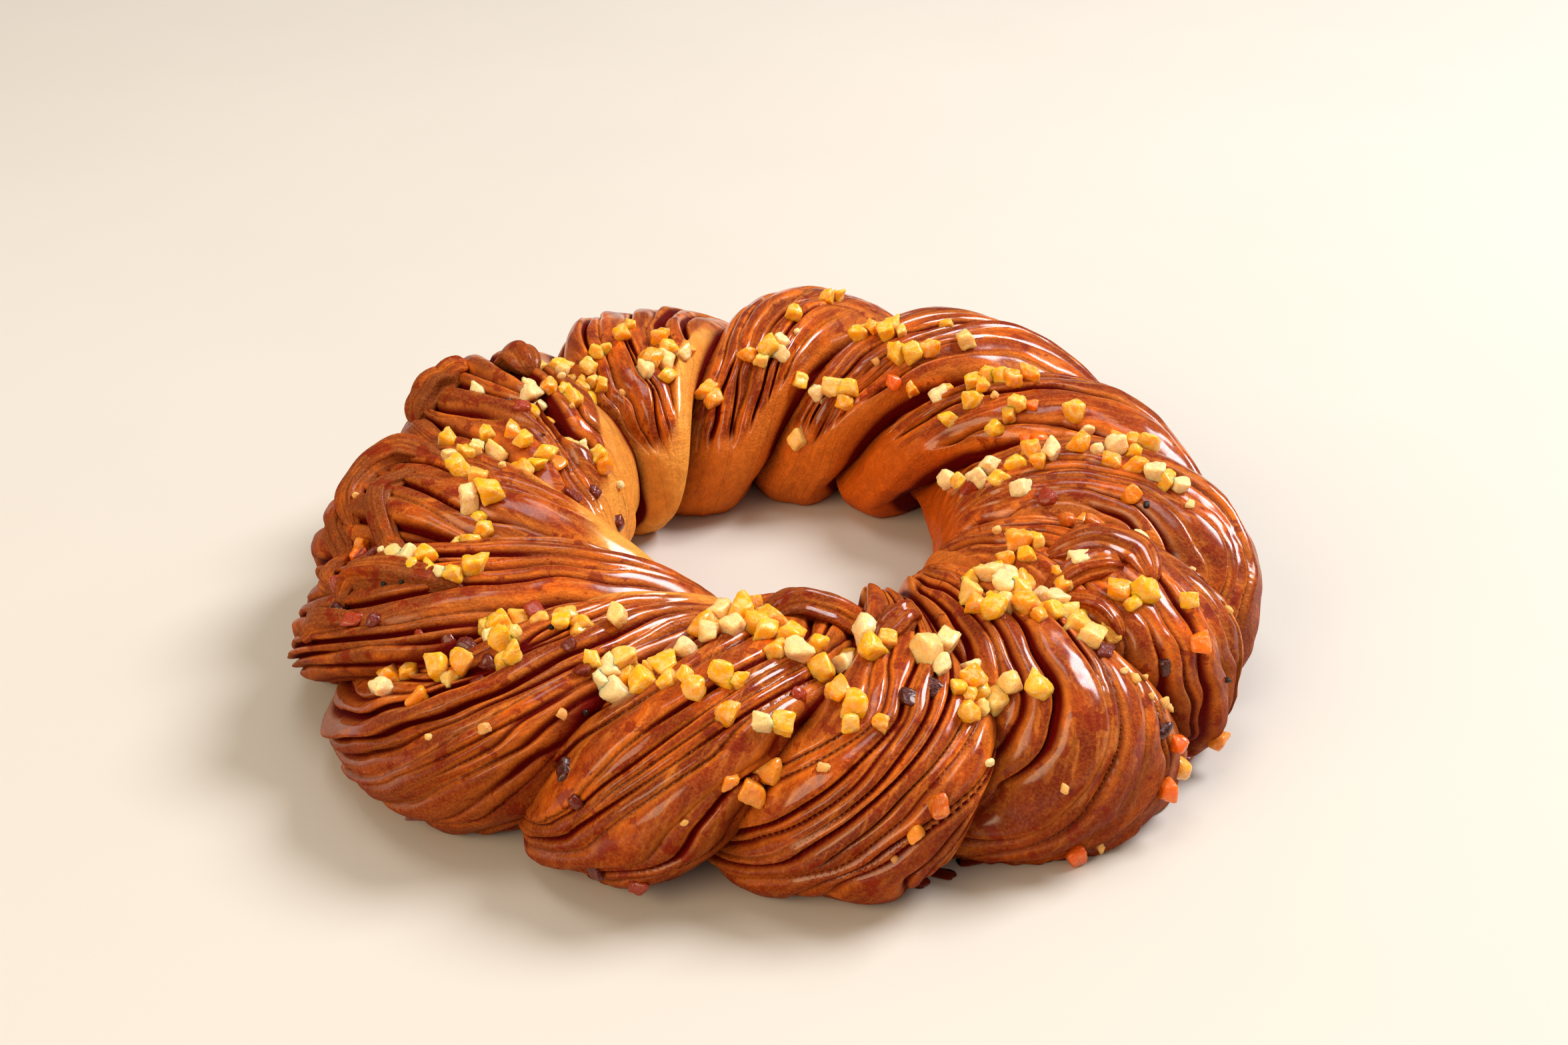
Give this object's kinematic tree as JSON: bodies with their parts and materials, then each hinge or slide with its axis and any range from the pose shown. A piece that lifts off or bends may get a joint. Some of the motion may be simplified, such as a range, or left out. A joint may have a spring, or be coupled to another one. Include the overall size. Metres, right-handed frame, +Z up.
{
  "type": "kringle",
  "caption": "Wreath-shaped kringle of two cut, twisted strands of layered dough, baked brown and glazed, scattered with diced candied peel.",
  "frame": {"origin": "centre of the box round the kringle, on its flat base", "axes": "+Z up through the hole; -Y is the front of the picture and +X its right"},
  "size_m": [0.273, 0.2888, 0.0668],
  "materials": {
    "baked_dough": "glazed brown crust; stands in for baked dough"
  },
  "bodies": {
    "root": {"kringle": "baked_dough"}
  },
  "joints": []
}
